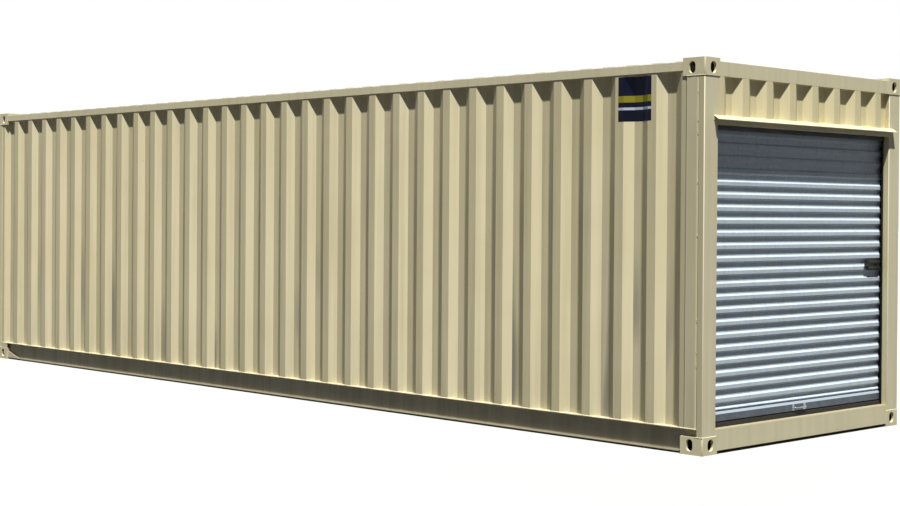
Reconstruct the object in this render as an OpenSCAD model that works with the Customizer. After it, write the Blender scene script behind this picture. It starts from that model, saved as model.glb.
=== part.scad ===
// Shipping container with a roll-up door welded into one end.
// Millimetres. X runs along the length with the door end at +X, Y across, Z up from the ground.
// Left and right are as seen by someone who stands outside and faces the door.

/* [Overall] */
// Length over the corner castings
length = 9125; // [6058:1:12192]
// Width over the corner castings
width = 2438; // [2200:1:2600]
// Height over the corner castings
height = 2591; // [2438:1:2896]

/* [Corner castings] */
// Size of a casting along the container
casting_x = 178; // [172:1:190]
// Size of a casting across the container
casting_y = 162; // [156:1:175]
// Height of a casting
casting_z = 118; // [112:1:130]
// Thickness of the plate that holds the lock slot
casting_plate = 28.5; // [20:0.5:32]
// Thickness of the two walls that hold the lashing holes
casting_wall = 22; // [14:1:28]
// Thickness of the three walls that are welded to the frame
casting_back = 10; // [6:1:12]
// Radius of the upright outer edge
casting_r = 10; // [4:1:14]
// Length of a lock slot
slot_l = 124; // [110:1:126]
// Width of a lock slot
slot_w = 63.5; // [50:0.5:66]
// Middle of a lock slot from the end face
slot_in_x = 103.5; // [98:0.5:106]
// Middle of a lock slot from the side face
slot_in_y = 89.5; // [84:0.5:94]
// Width of the lashing hole in the side face
side_hole_w = 51; // [40:1:56]
// Width of the lashing hole in the end face
end_hole_w = 63.5; // [50:0.5:66]
// Height of both lashing holes
lash_hole_h = 79; // [66:1:80]
// Middle of a lashing hole from the lock slot's face
lash_hole_z = 64; // [60:1:68]

/* [Rails] */
// How far rails and wall panels stand back from the casting faces
setback = 4; // [2:0.5:8]
// Outside of the square top side rail
top_rail = 60; // [50:1:70]
// How far the top side rail lies below the casting tops
top_rail_drop = 24; // [18:1:30]
// Wall of the top rails
rail_t = 4; // [3:0.5:6]
// How far the end rails lie below the casting tops
end_rail_drop = 20; // [10:1:30]
// Depth of the end rails along the container
end_rail_d = 60; // [50:1:80]
// Underside of the bottom side rail above the ground
bottom_rail_lift = 12; // [8:1:20]
// Height of the bottom side rail
bottom_rail_h = 158; // [140:1:170]
// Width of the bottom side rail's upper flange
upper_flange = 44; // [40:1:56]
// Width of the bottom side rail's lower flange
lower_flange = 30; // [20:1:36]
// Thickness of the bottom side rail
bottom_rail_t = 4.5; // [3:0.5:6]
// Length of a gusset on the lower flange at the back end
gusset_l = 230; // [120:5:300]
// Height of a gusset
gusset_h = 69; // [40:1:90]
// Thickness of a gusset
gusset_t = 6; // [4:1:10]
// Underside of the sill above the ground
sill_lift = 21; // [15:1:30]
// Depth of the door sill along the container
sill_d = 100; // [80:1:140]

/* [Posts] */
// How far the posts stand back from the casting side faces
post_back = 1.5; // [1:0.5:3]
// Width of a door jamb from the casting's side face
jamb_w = 150; // [120:1:160]
// Depth of a door jamb along the container
jamb_d = 50; // [40:1:60]
// Outer edge radius of a door jamb
jamb_r = 6; // [3:1:9]
// Wall of the door jambs and posts
post_t = 6; // [4:0.5:8]
// Depth of a door post along the container
post_d = 93; // [80:1:100]
// Width of a door post across the container
post_w = 113; // [100:1:120]
// Side leg of a back post along the container
back_leg_x = 58; // [48:1:80]
// End leg of a back post across the container
back_leg_y = 148; // [120:1:158]
// Inward lip on both legs of a back post
back_lip = 46; // [30:1:60]

/* [Wall panels] */
// Thickness of the pressed sheet
wall_t = 2; // [1.6:0.1:3]
// Outer flat of the side pressing
side_outer = 72; // [60:1:90]
// Inner flat of the side pressing
side_inner = 70; // [60:1:90]
// Length that one slope of the side pressing takes
side_slope = 68; // [50:1:80]
// Depth of the side pressing
side_depth = 36; // [25:1:40]
// How far a side wall stands in from the faces of its rails
side_in = 3.5; // [1:0.5:5]
// Least flat margin at both ends of a side wall
side_margin = 40; // [30:1:60]
// Outer flat of the back pressing
back_outer = 110; // [90:1:130]
// Inner flat of the back pressing
back_inner = 104; // [90:1:130]
// Length that one slope of the back pressing takes
back_slope = 18; // [15:1:40]
// Depth of the back pressing
back_depth = 45; // [30:1:48]
// Flat of the transom panel beside the left jamb
transom_first = 66; // [40:1:100]

/* [Roof and floor] */
// Raised flat of a roof pressing
roof_top = 91; // [70:1:110]
// Length that one slope of a roof pressing takes
roof_slope = 14; // [10:1:25]
// Pitch of the roof pressings
roof_pitch = 209; // [180:1:260]
// Height of a roof pressing
roof_rise = 16; // [10:1:18]
// Flat margin of the roof beside the top side rails
roof_side = 90; // [70:5:150]
// Flat margin of the roof beside the end rails
roof_end = 150; // [130:5:250]
// Underside of the floor above the ground
deck_z = 162; // [150:1:166]
// Thickness of the floor boards
deck_t = 28; // [21:1:30]
// Depth of a cross member
cross_h = 122; // [100:1:130]
// Flange of a cross member
cross_b = 45; // [35:1:60]
// Thickness of a cross member
cross_t = 4; // [3:0.5:6]
// Greatest pitch of the cross members
cross_pitch = 305; // [250:5:400]

/* [Roll-up door] */
// Height of the panel above the lintel
transom_h = 255; // [150:1:500]
// Height of the lintel
lintel_h = 60; // [50:1:80]
// Depth of the lintel along the container
lintel_d = 40; // [30:1:45]
// Length of the drip cap
cap_l = 2236; // [1900:1:2300]
// How far the drip cap stands out from the jambs
cap_out = 40; // [25:1:60]
// How far the drip cap slopes down
cap_fall = 27; // [15:1:40]
// Back flange of the drip cap
cap_flange = 36; // [25:1:50]
// Thickness of the drip cap
cap_t = 3; // [2:0.5:4]
// Depth of a door guide along the container
guide_d = 48; // [44:1:60]
// Thickness of a door guide
guide_t = 3; // [2:0.5:4]
// How far a guide shows past its jamb
guide_show = 12; // [6:1:30]
// Gap between the jambs' back faces and the curtain
curtain_in = 26; // [22:1:30]
// Sheet of the curtain
curtain_t = 1.2; // [0.8:0.1:2]
// Pitch of the curtain's ribs
rib_pitch = 84.7; // [70:0.1:100]
// Outer flat of a rib
rib_outer = 24; // [18:1:30]
// Height that one slope of a rib takes
rib_slope = 13; // [9:1:16]
// Depth of a rib
rib_depth = 13; // [8:1:14]
// Inner flat of the curtain's hem, on the bottom bar
hem_foot = 2; // [1:0.5:6]
// Outer flat of the hem's narrow rib
hem_outer = 2; // [2:0.5:12]
// Inner flat above the hem
hem_inner = 18.5; // [12:0.5:30]
// How far the curtain runs up behind the lintel
curtain_up = 42; // [30:1:55]
// Gap between the curtain's ends and the guides
curtain_side_gap = 4; // [3:0.5:8]
// Height of the rubber seal below the bottom bar
seal_h = 10; // [6:1:16]
// Depth of the rubber seal
seal_d = 18; // [12:1:22]
// Height of the bottom bar
bar_h = 62; // [50:1:80]
// How far the bottom bar stands out from the ribs
bar_out = 10; // [6:1:14]
// Height of the sloping lip on the bottom bar
bar_lip = 15; // [6:1:20]
// Height of the dark strip that shows under the lintel
strip_h = 32; // [20:1:45]
// Thickness of that strip
strip_t = 4; // [3:0.5:6]

/* [Latch and pull] */
// Middle of the latch above the ground
latch_z = 1207; // [1000:1:1400]
// Length of the latch plate
latch_l = 165; // [140:1:190]
// Height of the latch plate
latch_h = 84; // [70:1:100]
// Thickness of the latch plate
latch_t = 4; // [3:0.5:5]
// Gap between the latch plate and the jamb
latch_gap = 17; // [12:1:60]
// Length of the sliding bolt
bolt_l = 232; // [215:1:260]
// Height of the sliding bolt
bolt_h = 32; // [24:1:40]
// Thickness of the sliding bolt
bolt_t = 8; // [6:1:9]
// Free space round the bolt between its runners
bolt_gap = 0.5; // [0.3:0.1:1]
// Height of a bolt runner
runner_h = 14; // [10:1:18]
// Thickness of the seat under the bolt and of the lip over it
runner_t = 4; // [3:0.5:5]
// How far a runner's lip reaches over the bolt
runner_lip = 4; // [3:0.5:5]
// How far the bolt reaches past the jamb
bolt_reach = 13; // [8:1:18]
// Diameter of the bolt's knob
knob_d = 16; // [12:1:20]
// Grip length of the pull handle between its bends
pull_l = 110; // [90:1:140]
// Diameter of the pull handle's rod
pull_rod = 10; // [8:1:12]
// Bend radius of the pull handle
pull_bend = 16; // [12:1:20]
// Width of the pull handle's feet
pull_foot = 26; // [20:1:40]

/* [Hidden] */
$fn = 48;
half_l = length / 2;
half_w = width / 2;
// Bottom and top rail levels
flange_z = bottom_rail_lift + bottom_rail_h;
top_rail_z1 = height - top_rail_drop;
top_rail_z0 = top_rail_z1 - top_rail;
post_z0 = casting_z;
post_z1 = height - casting_z;
end_rail_z1 = height - end_rail_drop;
// Distances in from the door end face
jamb_in = setback + jamb_d;
post_in = jamb_in + post_d;
guide_in = jamb_in + guide_d;
curtain_face = jamb_in + curtain_in;
// Distances in from the left side face
web_in = setback + upper_flange;
post_side = post_back + post_w;
// Side wall run and pressings
side_len = length - post_in - setback - back_leg_x;
side_pitch = side_outer + side_inner + 2 * side_slope;
side_n = floor((side_len - 2 * side_margin + side_outer) / side_pitch);
side_first = (side_len - side_n * side_pitch + side_outer) / 2;
// Back wall run and pressings
back_len = width - 2 * (post_back + back_leg_y);
back_pitch = back_outer + back_inner + 2 * back_slope;
back_n = floor((back_len + back_outer) / back_pitch);
back_first = (back_len - back_n * back_pitch + back_outer) / 2;
// Clear door way and the panel above it
door_w = width - 2 * jamb_w;
panel_z0 = post_z1 - transom_h;
door_head = panel_z0 - lintel_h;
transom_n = ceil((door_w - transom_first) / side_pitch);
// Roof run
roof_len = length - 2 * (setback + end_rail_d);
roof_wid = width - 2 * (setback + 10);
roof_n = floor((roof_len - 2 * roof_end + roof_pitch - roof_top - 2 * roof_slope) / roof_pitch);
roof_first = (roof_len - (roof_n - 1) * roof_pitch - roof_top - 2 * roof_slope) / 2;
// Floor and cross members
deck_top = deck_z + deck_t;
deck_front = jamb_in + 6;
deck_back = setback + end_rail_d;
deck_edge = max(web_in, setback + side_in + side_depth + wall_t) + 1;
cross_run = length - setback - sill_d - setback - end_rail_d;
cross_n = ceil(cross_run / cross_pitch) - 1;
cross_step = cross_run / (cross_n + 1);
// Door heights
bar_z0 = deck_top + seal_h;
bar_z1 = bar_z0 + bar_h;
curtain_len = door_head + curtain_up - bar_z1;
rib_inner = rib_pitch - rib_outer - 2 * rib_slope;
hem_h = hem_foot + rib_slope + hem_outer;
rib_first = hem_h + 2 * rib_slope + hem_inner + rib_outer;
rib_n = floor((curtain_len - rib_first) / rib_pitch);
curtain_edge = post_side + guide_t + curtain_side_gap;
// Latch places
latch_y1 = half_w - jamb_w - latch_gap;
latch_y0 = latch_y1 - latch_l;
bolt_y1 = half_w - jamb_w + bolt_reach;
bolt_in1 = curtain_face - latch_t - runner_t;
bolt_in0 = bolt_in1 - bolt_t;
pull_z = bar_z0 + (bar_h - bar_lip) / 2;
pull_foot_h = bar_h - bar_lip - 5;

// Block between two corners
module slab(x0, x1, y0, y1, z0, z1) {
    translate([x0, y0, z0])
        cube([x1 - x0, y1 - y0, z1 - z0]);
}

// Square tube along Y, open at both ends
module tube_y(x0, x1, y0, y1, z0, z1, t) {
    difference() {
        slab(x0, x1, y0, y1, z0, z1);
        slab(x0 + t, x1 - t, y0 - 1, y1 + 1, z0 + t, z1 - t);
    }
}

// Left piece turned over to the right side
module right_hand() {
    mirror([0, 1, 0])
        children();
}

// Presses across a sheet: four bend points for each, from outer flat to inner flat and back
function presses(n, first, pitch, slope, inner, depth) = [
    for (i = [0:n - 1])
        each [
            [first + i * pitch, 0],
            [first + i * pitch + slope, depth],
            [first + i * pitch + slope + inner, depth],
            [first + i * pitch + 2 * slope + inner, 0]
        ]
];

// Shift of a bend on the sheet's other face that keeps the thickness even through the bend
function mitre(slope, depth, t) = t * tan(atan2(depth, slope) / 2);

// Closed outline of a pressed sheet of even thickness; from is the depth it starts at
function sheet(run, bends, t, k, from = 0) = concat(
    [[0, from]],
    bends,
    [[run, 0], [run, t]],
    [
        for (i = [len(bends) - 1:-1:0])
            [bends[i][0] + ((i + (from > 0 ? 2 : 0)) % 4 < 2 ? -k : k), bends[i][1] + t]
    ],
    [[0, from + t]]
);

// Slot with round ends, long way along X
module round_slot(l, w, h) {
    for (side = [-1, 1])
        translate([side * (l - w) / 2, 0, 0])
            cylinder(h = h, d = w, $fn = 64);
    translate([-(l - w) / 2, -w / 2, 0])
        cube([l - w, w, h]);
}

// Corner casting with its outer corner at the origin
module casting() {
    difference() {
        union() {
            translate([casting_r, 0, 0])
                cube([casting_x - casting_r, casting_y, casting_z]);
            translate([0, casting_r, 0])
                cube([casting_x, casting_y - casting_r, casting_z]);
            translate([casting_r, casting_r, 0])
                cylinder(h = casting_z, r = casting_r);
        }
        slab(
            casting_wall, casting_x - casting_back,
            casting_wall, casting_y - casting_back,
            casting_plate, casting_z - casting_back
        );
        translate([slot_in_x, slot_in_y, -1])
            round_slot(slot_l, slot_w, casting_plate + 2);
        translate([slot_in_x, -1, lash_hole_z])
            rotate([-90, -90, 0])
                round_slot(lash_hole_h, side_hole_w, casting_wall + 2);
        translate([-1, slot_in_y, lash_hole_z])
            rotate([0, 90, 0])
                round_slot(lash_hole_h, end_hole_w, casting_wall + 2);
    }
}

// One of the eight corners; each argument is 1 or -1
module corner(end, side, level) {
    color("DarkKhaki")
        translate([end * half_l, side * half_w, level > 0 ? height : 0])
            scale([-end, -side, -level])
                casting();
}

// Original corner post behind a jamb, notched at its foot for the bottom rail
module door_post() {
    color("DarkKhaki")
        difference() {
            slab(half_l - post_in, half_l - jamb_in,
                post_back - half_w, post_side - half_w, post_z0, post_z1);
            slab(half_l - post_in + post_t, half_l - jamb_in - post_t,
                post_back + post_t - half_w, post_side - post_t - half_w, post_z0 - 1, post_z1 + 1);
            slab(half_l - post_in - 1, half_l - jamb_in + 1,
                post_back - half_w - 1, web_in - half_w, post_z0 - 1, flange_z);
        }
}

// Pressed post of the back end: two legs with an inward lip each
module back_post() {
    x0 = setback - half_l;
    y0 = post_back - half_w;
    color("DarkKhaki")
        union() {
            slab(x0, x0 + post_t, y0, y0 + back_leg_y, post_z0, post_z1);
            slab(x0, x0 + back_lip, y0 + back_leg_y - post_t, y0 + back_leg_y, post_z0, post_z1);
            slab(x0, x0 + back_leg_x, y0, y0 + post_t, post_z0, post_z1);
            slab(x0 + back_leg_x - post_t, x0 + back_leg_x, y0, y0 + back_lip, flange_z, post_z1);
        }
}

// Outline of a jamb tube with round edges
module jamb_outline(d, w, r) {
    translate([r, 0])
        square([d - 2 * r, w]);
    translate([0, r])
        square([d, w - 2 * r]);
    for (x = [r, d - r], y = [r, w - r])
        translate([x, y])
            circle(r);
}

// Tube that frames the door on the left
module jamb() {
    w = jamb_w - post_back;
    color("Tan")
        translate([half_l - jamb_in, post_back - half_w, post_z0])
            linear_extrude(post_z1 - post_z0)
                difference() {
                    jamb_outline(jamb_d, w, jamb_r);
                    translate([post_t, post_t])
                        square([jamb_d - 2 * post_t, w - 2 * post_t]);
                }
}

module door_top_rail() {
    color("Tan")
        tube_y(half_l - setback - end_rail_d, half_l - setback,
            casting_y - half_w, half_w - casting_y, post_z1, end_rail_z1, rail_t);
}

// Lower end rail that reaches over the castings to the posts beside them
module low_end_rail(x0, x1, reach) {
    color("Tan")
        difference() {
            tube_y(x0, x1, reach - half_w, half_w - reach, sill_lift, deck_z, rail_t);
            for (side = [-1, 1])
                translate([(x0 + x1) / 2, side * half_w, 0])
                    cube([x1 - x0 + 2, 2 * casting_y, 2 * casting_z], center = true);
        }
}

module door_sill() {
    low_end_rail(half_l - setback - sill_d, half_l - setback, jamb_w);
}

module back_top_rail() {
    color("Tan")
        tube_y(setback - half_l, setback + end_rail_d - half_l,
            casting_y - half_w, half_w - casting_y, post_z1, end_rail_z1, rail_t);
}

module back_bottom_rail() {
    low_end_rail(setback - half_l, setback + end_rail_d - half_l, post_back + back_leg_y);
}

// Square tube above a side wall
module top_rail_piece() {
    color("Tan")
        difference() {
            slab(casting_x - half_l, half_l - casting_x,
                setback - half_w, setback + top_rail - half_w, top_rail_z0, top_rail_z1);
            slab(casting_x - half_l - 1, half_l - casting_x + 1,
                setback + rail_t - half_w, setback + top_rail - rail_t - half_w,
                top_rail_z0 + rail_t, top_rail_z1 - rail_t);
        }
}

// Channel below a side wall; its upper flange runs on over the castings to the posts,
// and a closing plate stands on the back casting
module bottom_rail_piece() {
    x0 = casting_x - half_l;
    x1 = half_l - casting_x;
    far = setback + back_leg_x - half_l;
    near = half_l - jamb_in;
    y1 = web_in - half_w;
    color("Tan")
        union() {
            slab(x0, x1, y1 - bottom_rail_t, y1, bottom_rail_lift, flange_z);
            slab(x0, x1, y1 - lower_flange, y1, bottom_rail_lift, bottom_rail_lift + bottom_rail_t);
            slab(far, near, y1 - bottom_rail_t, y1, casting_z, flange_z);
            slab(far, near, setback - half_w, y1, flange_z - bottom_rail_t, flange_z);
            slab(far, x0, setback - half_w, setback + bottom_rail_t - half_w, casting_z, flange_z);
        }
}

// Gussets that stand on the lower flanges beside the back castings
module rail_gussets() {
    z0 = bottom_rail_lift + bottom_rail_t;
    color("Tan")
        for (side = [-1, 1])
            translate([casting_x - half_l, side * (half_w - web_in + lower_flange - gusset_t / 2), z0])
                rotate([90, 0, 0])
                    linear_extrude(gusset_t, center = true)
                        polygon([[0, 0], [gusset_l, 0], [gusset_l, 4], [0, gusset_h]]);
}

// Pressed side panel between the posts, standing on the bottom rail and cut round the castings
module side_wall() {
    bends = presses(side_n, side_first, side_pitch, side_slope, side_inner, side_depth);
    color("Tan")
        difference() {
            translate([half_l - post_in, setback + side_in - half_w, flange_z])
                mirror([1, 0, 0])
                    linear_extrude(top_rail_z0 - flange_z)
                        polygon(sheet(side_len, bends, wall_t, mitre(side_slope, side_depth, wall_t)));
            for (end = [-1, 1])
                translate([end * half_l, -half_w, height])
                    cube([2 * casting_x, 2 * casting_y, 2 * casting_z], center = true);
        }
}

module back_wall() {
    bends = presses(back_n, back_first, back_pitch, back_slope, back_inner, back_depth);
    color("Tan")
        translate([setback - half_l, back_len / 2, deck_z])
            rotate([0, 0, -90])
                linear_extrude(post_z1 - deck_z)
                    polygon(sheet(back_len, bends, wall_t, mitre(back_slope, back_depth, wall_t)));
}

// Panel above the door, cut to the door way from the same pressing as the sides
module transom_panel() {
    bends = presses(transom_n, transom_first, side_pitch, side_slope, side_inner, side_depth);
    run = transom_first + transom_n * side_pitch;
    color("Tan")
        intersection() {
            translate([half_l - setback, -door_w / 2, panel_z0])
                rotate([0, 0, 90])
                    linear_extrude(post_z1 - panel_z0)
                        polygon(sheet(run, bends, wall_t,
                            mitre(side_slope, side_depth, wall_t)));
            slab(half_l - jamb_in, half_l, -door_w / 2, door_w / 2, panel_z0 - 1, post_z1 + 1);
        }
}

module lintel() {
    color("Tan")
        tube_y(half_l - setback - lintel_d, half_l - setback,
            -door_w / 2, door_w / 2, door_head, panel_z0, rail_t);
}

// Bent strip that throws rain clear of the door
module drip_cap() {
    drop = cap_t * 1.2;
    color("Tan")
        translate([half_l - setback, cap_l / 2, panel_z0])
            rotate([90, 0, 0])
                linear_extrude(cap_l)
                    polygon([
                        [0, 0], [cap_out, -cap_fall], [cap_out, -cap_fall - drop],
                        [cap_t, -drop - cap_t * cap_fall / cap_out], [cap_t, -cap_flange], [0, -cap_flange]
                    ]);
}

// Section of the roof across its presses, raised by the press height; low sets the underside
function roof_section(low, inset, level) = concat(
    [[low ? -1 : 0, low ? -1 : 0], [low ? -1 : 0, level]],
    [
        for (i = [0:roof_n - 1])
            each [
                [roof_first + i * roof_pitch + inset, level],
                [roof_first + i * roof_pitch + roof_slope + inset, level + roof_rise],
                [roof_first + i * roof_pitch + roof_slope + roof_top - inset, level + roof_rise],
                [roof_first + i * roof_pitch + 2 * roof_slope + roof_top - inset, level]
            ]
    ],
    [[roof_len + (low ? 1 : 0), level], [roof_len + (low ? 1 : 0), low ? -1 : 0]]
);

// Presses as one solid: the section along the roof met by the section across it
module roof_form(low, inset, level) {
    reach = roof_wid / 2 + (low ? 1 : 0);
    base = roof_wid / 2 - roof_side - inset;
    intersection() {
        translate([-roof_len / 2, roof_wid / 2 + 2, top_rail_z1])
            rotate([90, 0, 0])
                linear_extrude(roof_wid + 4)
                    polygon(roof_section(low, inset, level));
        translate([-roof_len / 2 - 2, 0, top_rail_z1])
            rotate([90, 0, 90])
                linear_extrude(roof_len + 4)
                    polygon([
                        [-reach, low ? -1 : 0], [-reach, level], [-base, level],
                        [-base + roof_slope, level + roof_rise], [base - roof_slope, level + roof_rise],
                        [base, level], [reach, level], [reach, low ? -1 : 0]
                    ]);
    }
}

// Roof sheet with cross presses, notched round the castings
module roof_panel() {
    k = mitre(roof_slope, roof_rise, wall_t);
    color("Tan")
        difference() {
            roof_form(false, 0, wall_t);
            roof_form(true, k, 0);
            for (end = [-1, 1], side = [-1, 1])
                translate([end * (half_l - casting_x / 2), side * (half_w - casting_y / 2), height])
                    cube([casting_x, casting_y, 2 * top_rail_drop + 20], center = true);
        }
}

// Plywood floor, cut round the door posts
module floor_deck() {
    color("SaddleBrown")
        difference() {
            slab(deck_back - half_l, half_l - deck_front,
                deck_edge - half_w, half_w - deck_edge, deck_z, deck_top);
            for (side = [-1, 1])
                translate([half_l - post_in / 2, side * half_w, deck_z])
                    cube([post_in + 4, 2 * post_side + 2, 4 * deck_t], center = true);
        }
}

// Channels that carry the floor between the bottom side rails
module cross_members() {
    color("DarkOliveGreen")
        for (i = [1:cross_n]) {
            x = setback + end_rail_d - half_l + i * cross_step;
            difference() {
                slab(x - cross_b / 2, x + cross_b / 2,
                    web_in - half_w, half_w - web_in, deck_z - cross_h, deck_z);
                slab(x - cross_b / 2 + cross_t, x + cross_b,
                    web_in - half_w - 1, half_w - web_in + 1,
                    deck_z - cross_h + cross_t, deck_z - cross_t);
            }
        }
}

// Channel that holds one edge of the curtain
module guide() {
    y0 = post_side - half_w;
    y1 = jamb_w + guide_show - half_w;
    z1 = door_head + curtain_up;
    color("DimGray")
        union() {
            slab(half_l - guide_in, half_l - jamb_in, y0, y0 + guide_t, deck_top, z1);
            slab(half_l - jamb_in - guide_t, half_l - jamb_in, y0, y1, deck_top, z1);
            slab(half_l - guide_in, half_l - guide_in + guide_t, y0, y1, deck_top, z1);
        }
}

// Ribbed steel curtain, shown shut
module door_curtain() {
    foot = [[hem_foot, rib_depth], [hem_foot + rib_slope, 0]];
    hem = presses(1, hem_h, rib_pitch, rib_slope, hem_inner, rib_depth);
    ribs = presses(rib_n, rib_first, rib_pitch, rib_slope, rib_inner, rib_depth);
    bends = concat(foot, hem, ribs);
    w = width - 2 * curtain_edge;
    color("LightSteelBlue")
        translate([half_l - curtain_face, w / 2, bar_z1])
            rotate([90, -90, 0])
                linear_extrude(w)
                    polygon(sheet(curtain_len, bends, curtain_t,
                        mitre(rib_slope, rib_depth, curtain_t), rib_depth));
}

// Hollow bar along the foot of the curtain, with a sloping upper lip
module bottom_bar() {
    w = width - 2 * curtain_edge;
    d = bar_out + rib_depth + curtain_t + 2;
    color("Silver")
        translate([half_l - curtain_face + bar_out, w / 2, bar_z0])
            rotate([90, 0, 0])
                linear_extrude(w)
                    difference() {
                        polygon([[0, 0], [0, bar_h - bar_lip], [-bar_out, bar_h], [-d, bar_h], [-d, 0]]);
                        translate([-d + 3, 3])
                            square([d - 6, bar_h - bar_lip - 6]);
                    }
}

// Rubber between the bottom bar and the floor
module bottom_seal() {
    w = width - 2 * curtain_edge;
    x1 = half_l - curtain_face + bar_out - 4;
    color("Black")
        slab(x1 - seal_d, x1, -w / 2, w / 2, deck_top, bar_z0);
}

// Dark weather strip behind the lintel
module lintel_strip() {
    x1 = half_l - setback - lintel_d;
    color("Black")
        slab(x1 - strip_t, x1, 2 - door_w / 2, door_w / 2 - 2, door_head - strip_h, door_head + lintel_h / 2);
}

// Bent rod handle on two feet, on the bottom bar
module pull_handle() {
    x0 = half_l - curtain_face + bar_out;
    span = pull_l / 2 + pull_bend;
    color("Gainsboro")
        translate([x0, 0, pull_z])
            union() {
                for (side = [-1, 1]) {
                    translate([0, side * span - pull_foot / 2, -pull_foot_h / 2])
                        cube([3, pull_foot, pull_foot_h]);
                    translate([0, side * span, 0])
                        rotate([0, 90, 0])
                            cylinder(h = 6, d = pull_rod);
                    translate([6, side * pull_l / 2, 0])
                        rotate([0, 0, side > 0 ? 0 : -90])
                            rotate_extrude(angle = 90)
                                translate([pull_bend, 0])
                                    circle(d = pull_rod);
                }
                translate([6 + pull_bend, pull_l / 2, 0])
                    rotate([90, 0, 0])
                        cylinder(h = pull_l, d = pull_rod);
            }
}

// Plate on the curtain with an upper and a lower runner that hold the bolt
module latch_plate() {
    x0 = half_l - curtain_face;
    x1 = half_l - bolt_in0 + bolt_gap + runner_t;
    zg = bolt_h / 2 + bolt_gap;
    zr = zg + runner_h;
    color("Black")
        difference() {
            union() {
                slab(x0, x0 + latch_t, latch_y0, latch_y1, latch_z - latch_h / 2, latch_z + latch_h / 2);
                slab(x0, x1, latch_y0 + 3, latch_y1 - 3, latch_z - zr, latch_z + zr);
            }
            slab(half_l - bolt_in1 - bolt_gap, half_l - bolt_in0 + bolt_gap,
                latch_y0 - 1, latch_y1 + 1, latch_z - zg, latch_z + zg);
            slab(half_l - bolt_in0, x1 + 1,
                latch_y0 - 1, latch_y1 + 1, latch_z - zg + runner_lip, latch_z + zg - runner_lip);
        }
}

// Flat bolt with a round finger end and a knob; it slides across the door
module latch_bolt() {
    x0 = half_l - bolt_in1;
    y0 = bolt_y1 - bolt_l;
    color("Black")
        union() {
            slab(x0, x0 + bolt_t, y0 + bolt_h / 2, bolt_y1, latch_z - bolt_h / 2, latch_z + bolt_h / 2);
            translate([x0, y0 + bolt_h / 2, latch_z])
                rotate([0, 90, 0])
                    cylinder(h = bolt_t, d = bolt_h);
            translate([x0 + bolt_t, latch_y1 - 3 * knob_d, latch_z])
                rotate([0, 90, 0])
                    cylinder(h = 14, d = knob_d);
        }
}

corner(1, -1, -1);  // casting_door_left_bottom
corner(1, 1, -1);  // casting_door_right_bottom
corner(1, -1, 1);  // casting_door_left_top
corner(1, 1, 1);  // casting_door_right_top
corner(-1, -1, -1);  // casting_back_left_bottom
corner(-1, 1, -1);  // casting_back_right_bottom
corner(-1, -1, 1);  // casting_back_left_top
corner(-1, 1, 1);  // casting_back_right_top
door_post();  // door_post_left
right_hand() door_post();  // door_post_right
back_post();  // back_post_left
right_hand() back_post();  // back_post_right
jamb();  // jamb_left
right_hand() jamb();  // jamb_right
door_top_rail();
door_sill();
back_top_rail();
back_bottom_rail();
top_rail_piece();  // top_rail_left
right_hand() top_rail_piece();  // top_rail_right
bottom_rail_piece();  // bottom_rail_left
right_hand() bottom_rail_piece();  // bottom_rail_right
rail_gussets();
side_wall();  // side_wall_left
right_hand() side_wall();  // side_wall_right
back_wall();
transom_panel();
lintel();
drip_cap();
roof_panel();
floor_deck();
cross_members();
guide();  // guide_left
right_hand() guide();  // guide_right
door_curtain();
bottom_bar();
bottom_seal();
lintel_strip();
pull_handle();
latch_plate();
latch_bolt();
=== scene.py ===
# Looks of a long steel storage container with a roll-up door in one end.
# Metres, in the frame of the CAD: X along the length with the door end at +X, Y across, Z up.

import math

import bmesh
import bpy
from mathutils import Matrix, Vector


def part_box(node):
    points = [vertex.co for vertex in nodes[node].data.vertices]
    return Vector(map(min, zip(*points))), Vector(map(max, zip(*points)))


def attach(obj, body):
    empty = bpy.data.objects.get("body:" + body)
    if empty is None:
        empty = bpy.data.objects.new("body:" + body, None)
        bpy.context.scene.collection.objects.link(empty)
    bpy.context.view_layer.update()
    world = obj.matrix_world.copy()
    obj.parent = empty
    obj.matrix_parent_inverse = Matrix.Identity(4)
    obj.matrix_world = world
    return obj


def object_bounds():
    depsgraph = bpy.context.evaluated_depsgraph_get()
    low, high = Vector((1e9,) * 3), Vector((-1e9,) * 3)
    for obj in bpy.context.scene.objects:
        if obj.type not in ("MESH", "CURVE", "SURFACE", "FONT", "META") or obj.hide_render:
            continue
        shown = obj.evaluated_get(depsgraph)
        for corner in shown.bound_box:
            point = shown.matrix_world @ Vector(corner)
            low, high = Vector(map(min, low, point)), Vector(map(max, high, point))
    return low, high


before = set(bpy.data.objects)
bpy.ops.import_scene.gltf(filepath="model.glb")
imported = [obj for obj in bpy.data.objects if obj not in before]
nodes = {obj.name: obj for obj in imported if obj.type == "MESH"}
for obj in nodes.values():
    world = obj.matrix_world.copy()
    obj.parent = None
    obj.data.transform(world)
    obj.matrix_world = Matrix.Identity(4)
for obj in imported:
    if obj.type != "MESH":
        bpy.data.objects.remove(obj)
cad_box = [list(corner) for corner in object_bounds()]
scene = bpy.context.scene
MM = 0.001
# Half the length over the castings, half the width, the height, and the size of a casting
HALF_L, HALF_W, HEIGHT = -cad_box[0][0], cad_box[1][1], cad_box[1][2]
cast_low, cast_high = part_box("casting_door_left_bottom")
CAST_X, CAST_Y, CAST_Z = cast_high - cast_low
wall_low, wall_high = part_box("side_wall_left")
post_low, post_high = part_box("door_post_left")
jamb_low, jamb_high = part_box("jamb_left")
# Side wall: how far its first press starts from the post, the presses' pitch, run of a slope, inner flat,
# depth and number
FIRST, PITCH, SLOPE, INNER, DEPTH, PRESSES = 0.046, 0.278, 0.068, 0.070, 0.036, 32


def paint(code):
    """Linear RGBA of an sRGB hex colour."""
    parts = [int(code[i:i + 2], 16) / 255 for i in (1, 3, 5)]
    return [c / 12.92 if c <= 0.04045 else ((c + 0.055) / 1.055) ** 2.4 for c in parts] + [1.0]


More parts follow.
